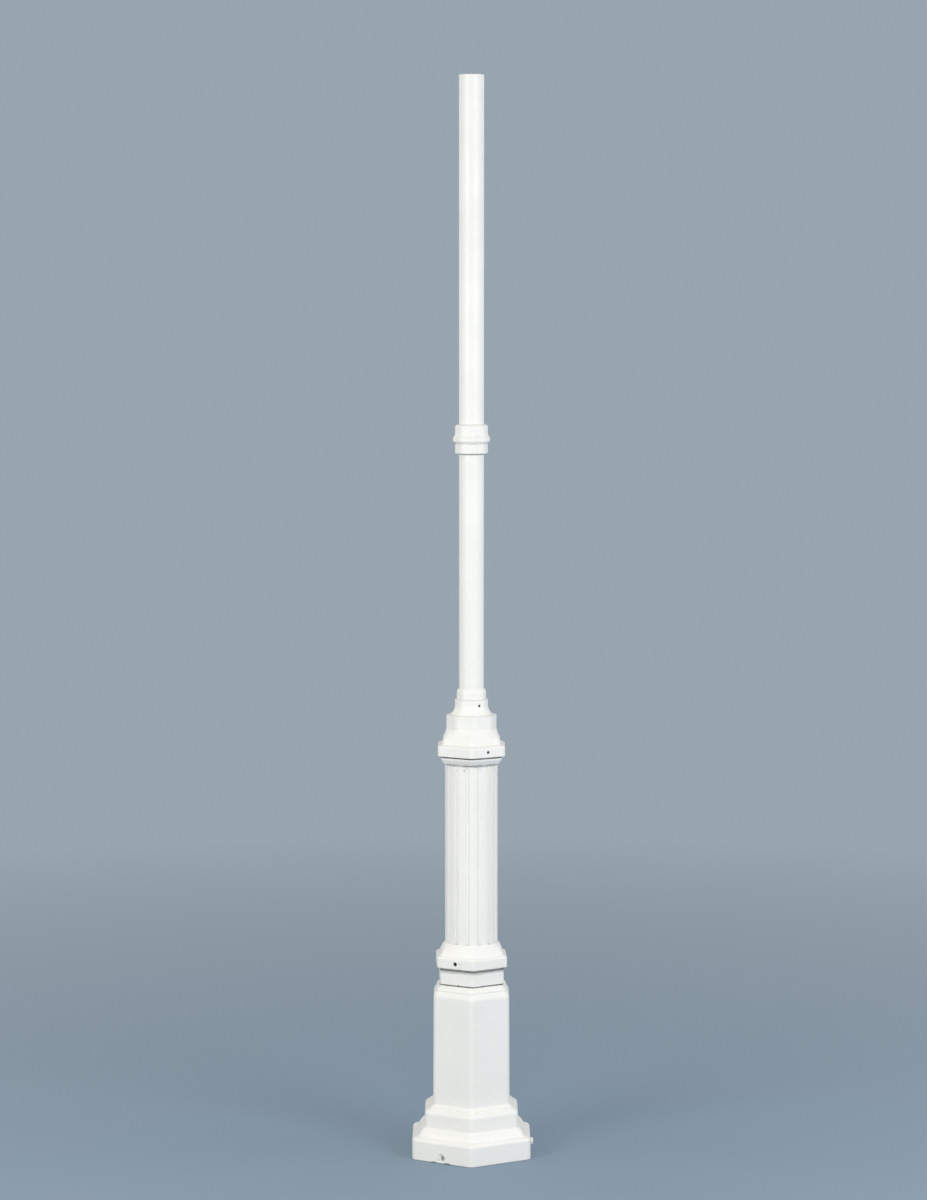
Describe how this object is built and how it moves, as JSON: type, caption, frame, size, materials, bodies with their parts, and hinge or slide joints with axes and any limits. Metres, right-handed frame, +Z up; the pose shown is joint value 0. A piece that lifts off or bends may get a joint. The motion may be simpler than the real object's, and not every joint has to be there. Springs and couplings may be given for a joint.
{
  "type": "street lamp post",
  "caption": "White hexagonal lamp post: moulded pedestal base, fluted shaft, stepped cap and slim round pole with a band collar and an open top.",
  "frame": {"origin": "centre of the base on the ground, which is the centre of the circle of ground bolts", "axes": "+Z up along the post; a corner of the hexagonal base points to -Y and a flat faces +X"},
  "size_m": [0.373, 0.4214, 3.319],
  "materials": {
    "white_paint": "white semi-gloss paint over cast and drawn metal",
    "screw_steel": "dark oiled steel socket set screws"
  },
  "bodies": {
    "root": {"base_casting": "white_paint", "neck_block": "white_paint", "middle_collar": "white_paint", "fluted_shaft": "white_paint", "trim_ring": "white_paint", "cap": "white_paint", "neck_ring": "white_paint", "lower_pole": "white_paint", "band_ring": "white_paint", "band_collar": "white_paint", "upper_pole": "white_paint", "plinth_bolt_right": "white_paint", "plinth_bolt_back": "white_paint", "collar_screw_front": "screw_steel", "collar_screw_right": "screw_steel", "collar_screw_back": "screw_steel", "cap_screw_front": "screw_steel", "cap_screw_right": "screw_steel", "cap_screw_left": "screw_steel", "neck_screw_front": "screw_steel", "neck_screw_back": "screw_steel"}
  },
  "joints": []
}
